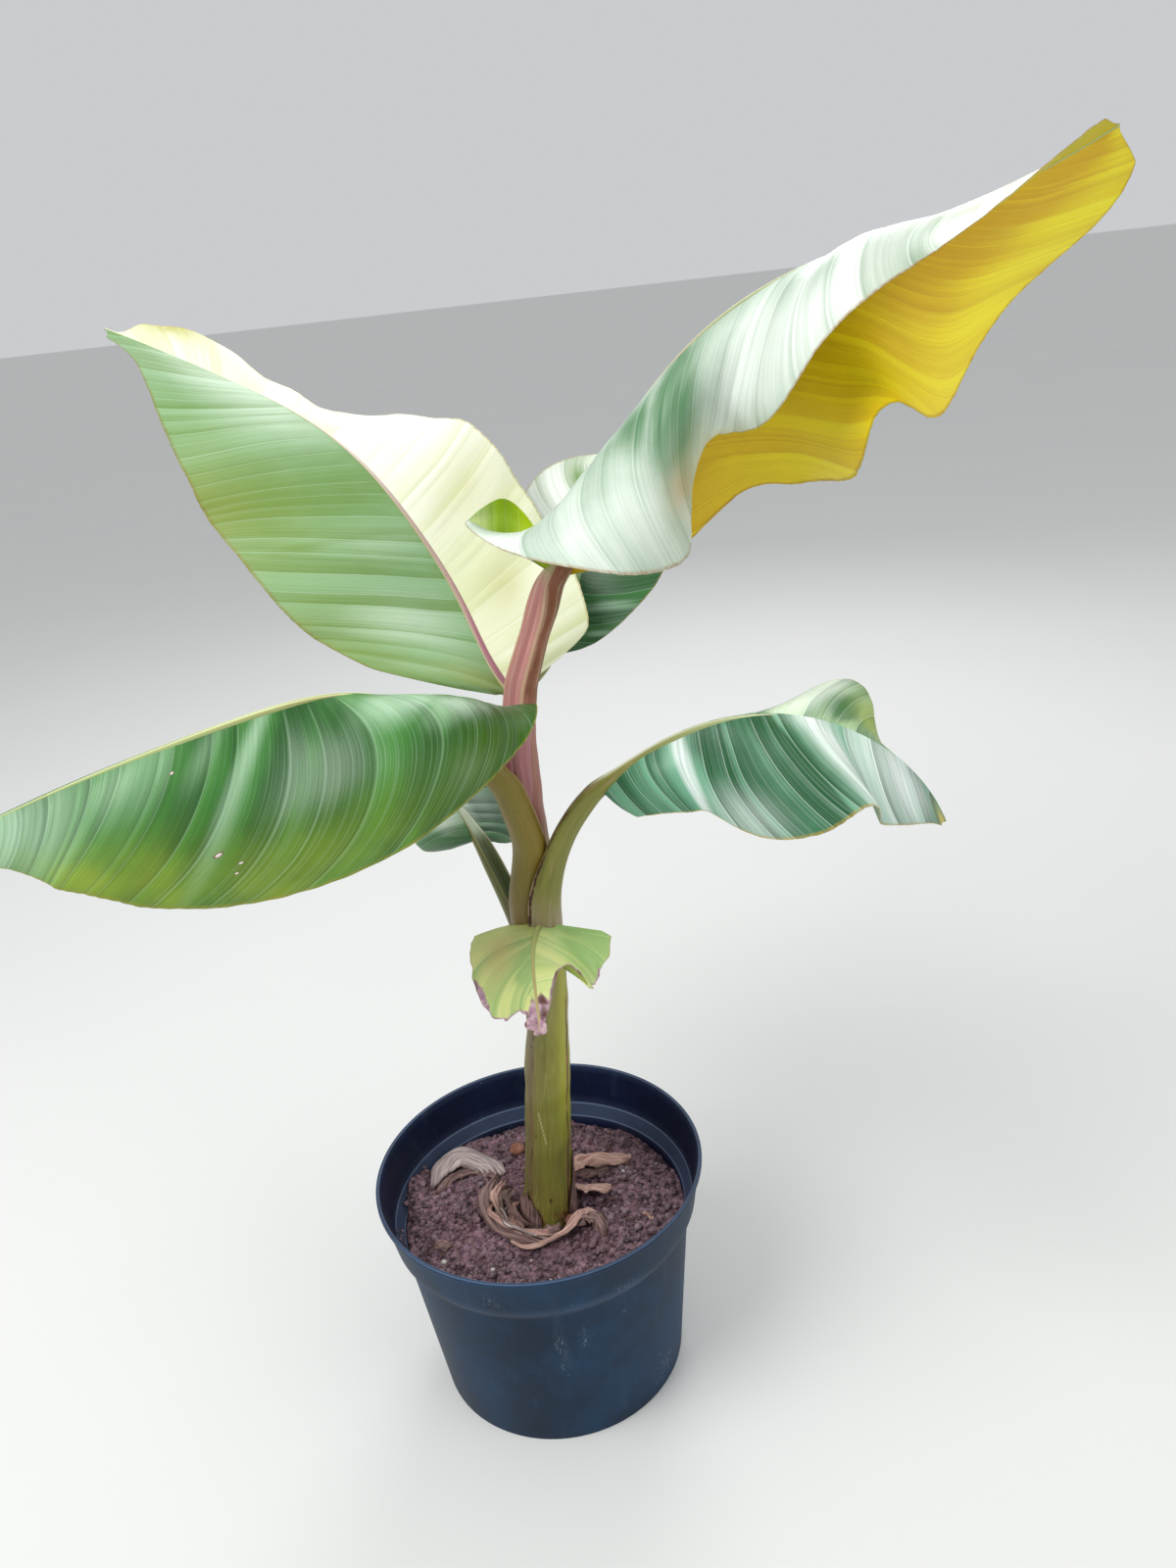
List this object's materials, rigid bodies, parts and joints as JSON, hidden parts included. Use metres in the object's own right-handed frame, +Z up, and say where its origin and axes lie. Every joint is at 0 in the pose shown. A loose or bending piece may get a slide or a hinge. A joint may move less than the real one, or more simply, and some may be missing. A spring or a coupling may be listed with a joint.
{
  "type": "potted banana plant",
  "caption": "Young banana plant with a leaning stem and broad arching leaves on channelled stalks, growing in soil in a round tapered nursery pot with a collar.",
  "frame": {"origin": "centre of the pot's flat underside", "axes": "+Z up along the pot's axis, +Y away from the viewer, so the longest leaves spread to -X and +X"},
  "size_m": [0.7651, 0.4794, 0.9468],
  "materials": {
    "pot_plastic": "satin",
    "soil": "matte",
    "stem": "satin",
    "stalk": "satin",
    "leaf_pale": "satin",
    "leaf_dark": "satin",
    "leaf_yellow": "satin",
    "leaf_withered": "matte"
  },
  "bodies": {
    "root": {"pot": "pot_plastic", "soil": "soil", "trunk": "stem", "stalk_upper_left": "stalk", "midrib_upper_left": "stalk", "stalk_upper_right": "stalk", "midrib_upper_right": "stalk", "stalk_back_right": "stalk", "midrib_back_right": "stalk", "stalk_lower_left": "stalk", "midrib_lower_left": "stalk", "stalk_lower_right": "stalk", "midrib_lower_right": "stalk", "stalk_back_left": "stalk", "midrib_back_left": "stalk", "stalk_withered": "stalk", "midrib_withered": "stalk", "blade_upper_left_left": "leaf_pale", "blade_upper_left_right": "leaf_pale", "blade_upper_right_left": "leaf_yellow", "blade_upper_right_right": "leaf_pale", "blade_back_right_left": "leaf_dark", "blade_back_right_right": "leaf_dark", "blade_lower_left_left": "leaf_dark", "blade_lower_left_right": "leaf_dark", "blade_lower_right_left": "leaf_dark", "blade_lower_right_right": "leaf_dark", "blade_back_left_left": "leaf_dark", "blade_back_left_right": "leaf_dark", "blade_withered_left": "leaf_withered", "blade_withered_right": "leaf_withered"}
  },
  "joints": []
}
